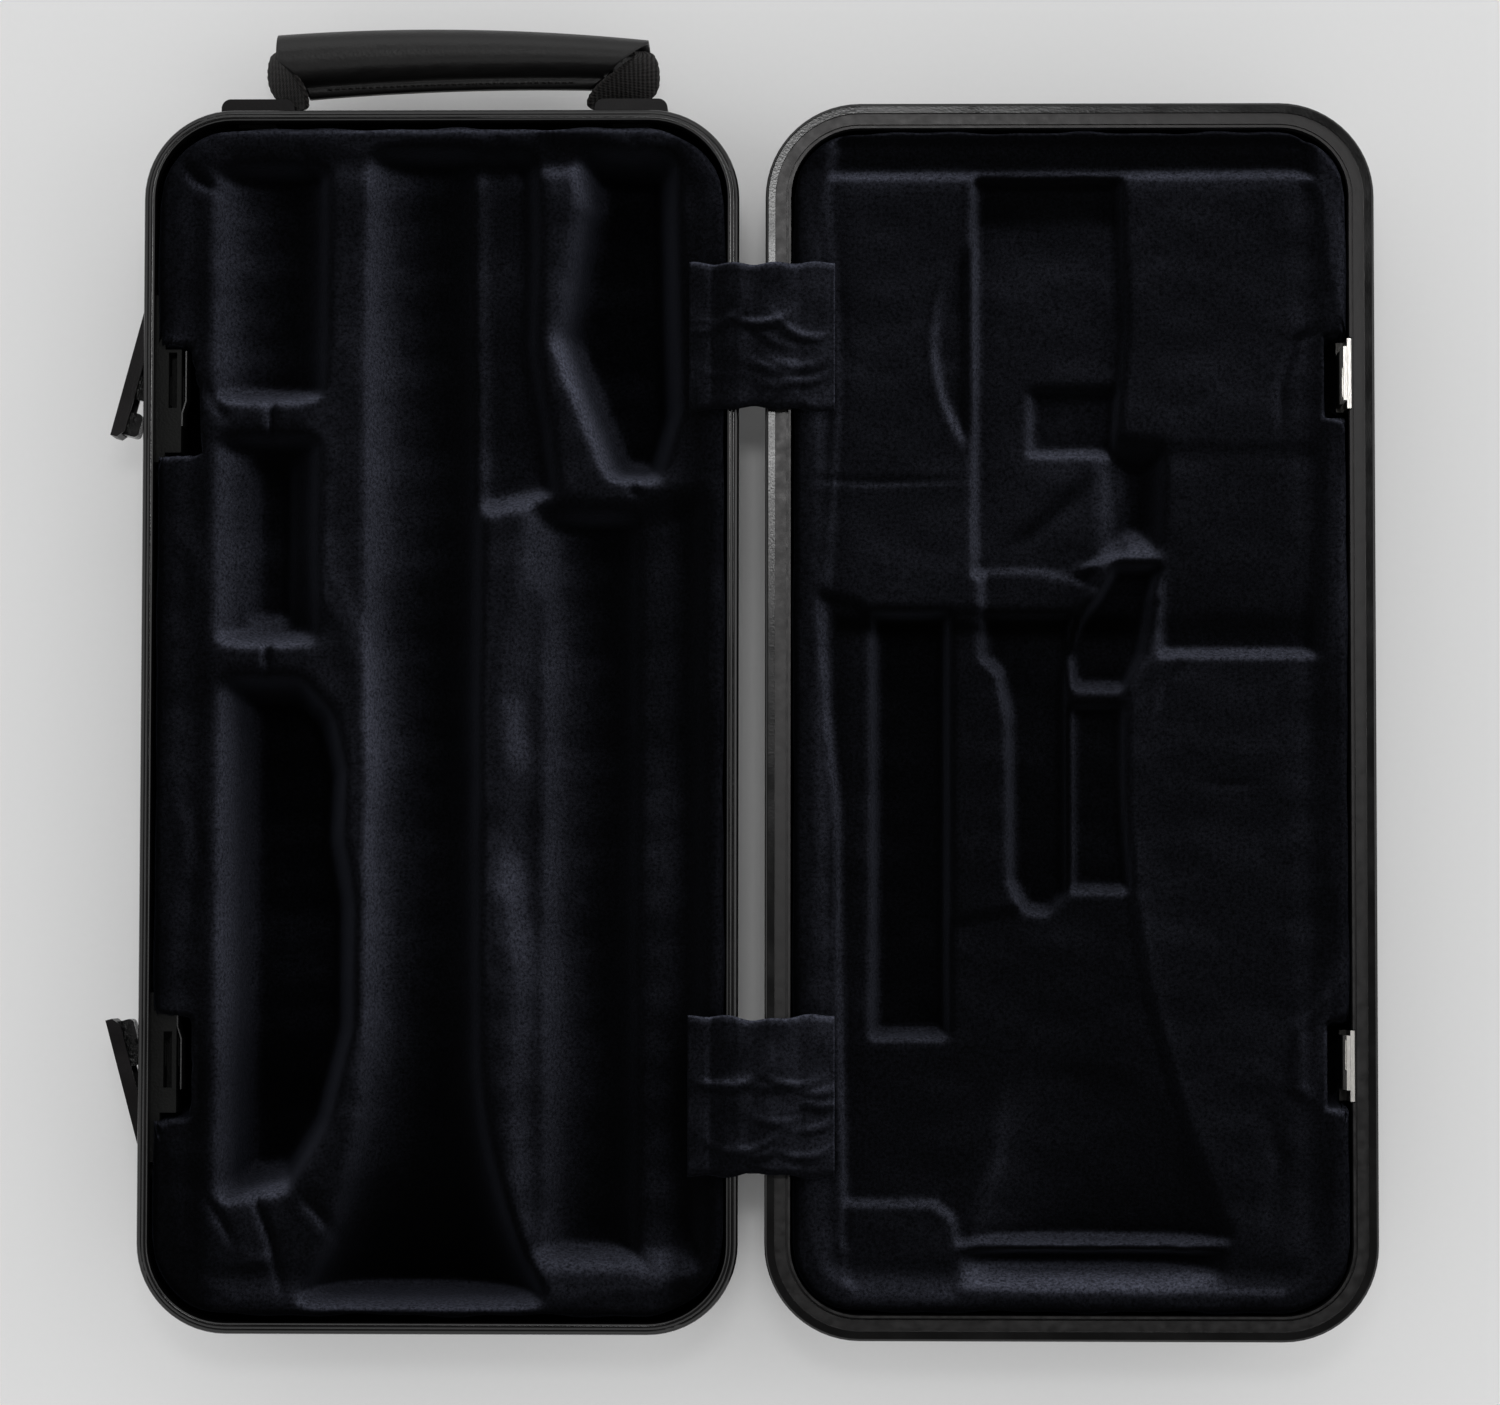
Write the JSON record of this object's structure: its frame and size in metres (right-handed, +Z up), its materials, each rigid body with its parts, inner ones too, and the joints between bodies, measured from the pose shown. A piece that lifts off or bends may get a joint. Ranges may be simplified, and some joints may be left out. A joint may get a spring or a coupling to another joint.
{
  "type": "clarinet case",
  "caption": "Hard case for a clarinet, lying open, with a hinged lid, velvet-lined pockets, swinging latches and a carrying handle on one end.",
  "frame": {"origin": "centre of the base's underside, where the case rests", "axes": "+X towards the hinges and the open lid, +Y towards the handle, +Z up"},
  "size_m": [0.4026, 0.4199, 0.064],
  "materials": {
    "shell": "satin",
    "rim": "satin",
    "seat": "satin",
    "velvet": "matte",
    "foam": "matte",
    "steel": "satin",
    "rivet": "satin",
    "strike": "gloss",
    "lever": "satin",
    "claw": "gloss",
    "housing": "matte",
    "foot": "satin",
    "grip": "satin",
    "core": "matte",
    "webbing": "matte"
  },
  "bodies": {
    "base": {"base_shell": "shell", "base_rim": "rim", "base_insert": "foam", "base_lining": "velvet", "hinge_base_leaf_upper": "steel", "hinge_base_leaf_lower": "steel", "hinge_pin_upper": "steel", "hinge_pin_lower": "steel", "hinge_base_rivets": "rivet", "latch_housing_upper": "housing", "latch_housing_lower": "housing", "latch_pin_upper": "steel", "latch_pin_lower": "steel", "latch_spring_upper": "steel", "latch_spring_lower": "steel", "latch_rivets": "rivet", "handle_foot_left": "foot", "handle_foot_right": "foot", "handle_screws": "steel", "handle_backing_plates": "steel", "hinge_cover_upper": "velvet", "hinge_cover_lower": "velvet"},
    "lid": {"lid_shell": "shell", "lid_rim": "rim", "lid_seat": "seat", "lid_insert": "foam", "lid_lining": "velvet", "hinge_lid_leaf_upper": "steel", "hinge_lid_leaf_lower": "steel", "hinge_lid_rivets": "rivet", "strike_upper": "strike", "strike_lower": "strike", "strike_rivets": "rivet"},
    "lever_upper": {"latch_lever_upper": "lever", "latch_claw_upper": "claw"},
    "lever_lower": {"latch_lever_lower": "lever", "latch_claw_lower": "claw"},
    "handle": {"handle_grip": "grip", "handle_core": "core", "handle_strap_left": "webbing", "handle_strap_right": "webbing"}
  },
  "joints": [
    {"name": "lid_hinge", "type": "hinge", "parent": "base", "child": "lid", "pos_m": [0.1, 0, 0.052], "axis": [0, -1, 0], "range_deg": [0, 180], "deforming": ["hinge_cover_upper", "hinge_cover_lower"]},
    {"name": "lever_upper_pivot", "type": "hinge", "parent": "base", "child": "lever_upper", "pos_m": [-0.0924, 0.13171, 0.04], "axis": [0, 0, 1], "range_deg": [0, 15]},
    {"name": "lever_lower_pivot", "type": "hinge", "parent": "base", "child": "lever_lower", "pos_m": [-0.0924, -0.13681, 0.04], "axis": [0, 0, -1], "range_deg": [0, 15]},
    {"name": "handle_swing", "type": "hinge", "parent": "base", "child": "handle", "pos_m": [0, 0.1965, 0.028], "axis": [1, 0, 0], "range_deg": [-30, 30], "deforming": ["handle_strap_left", "handle_strap_right"]}
  ]
}
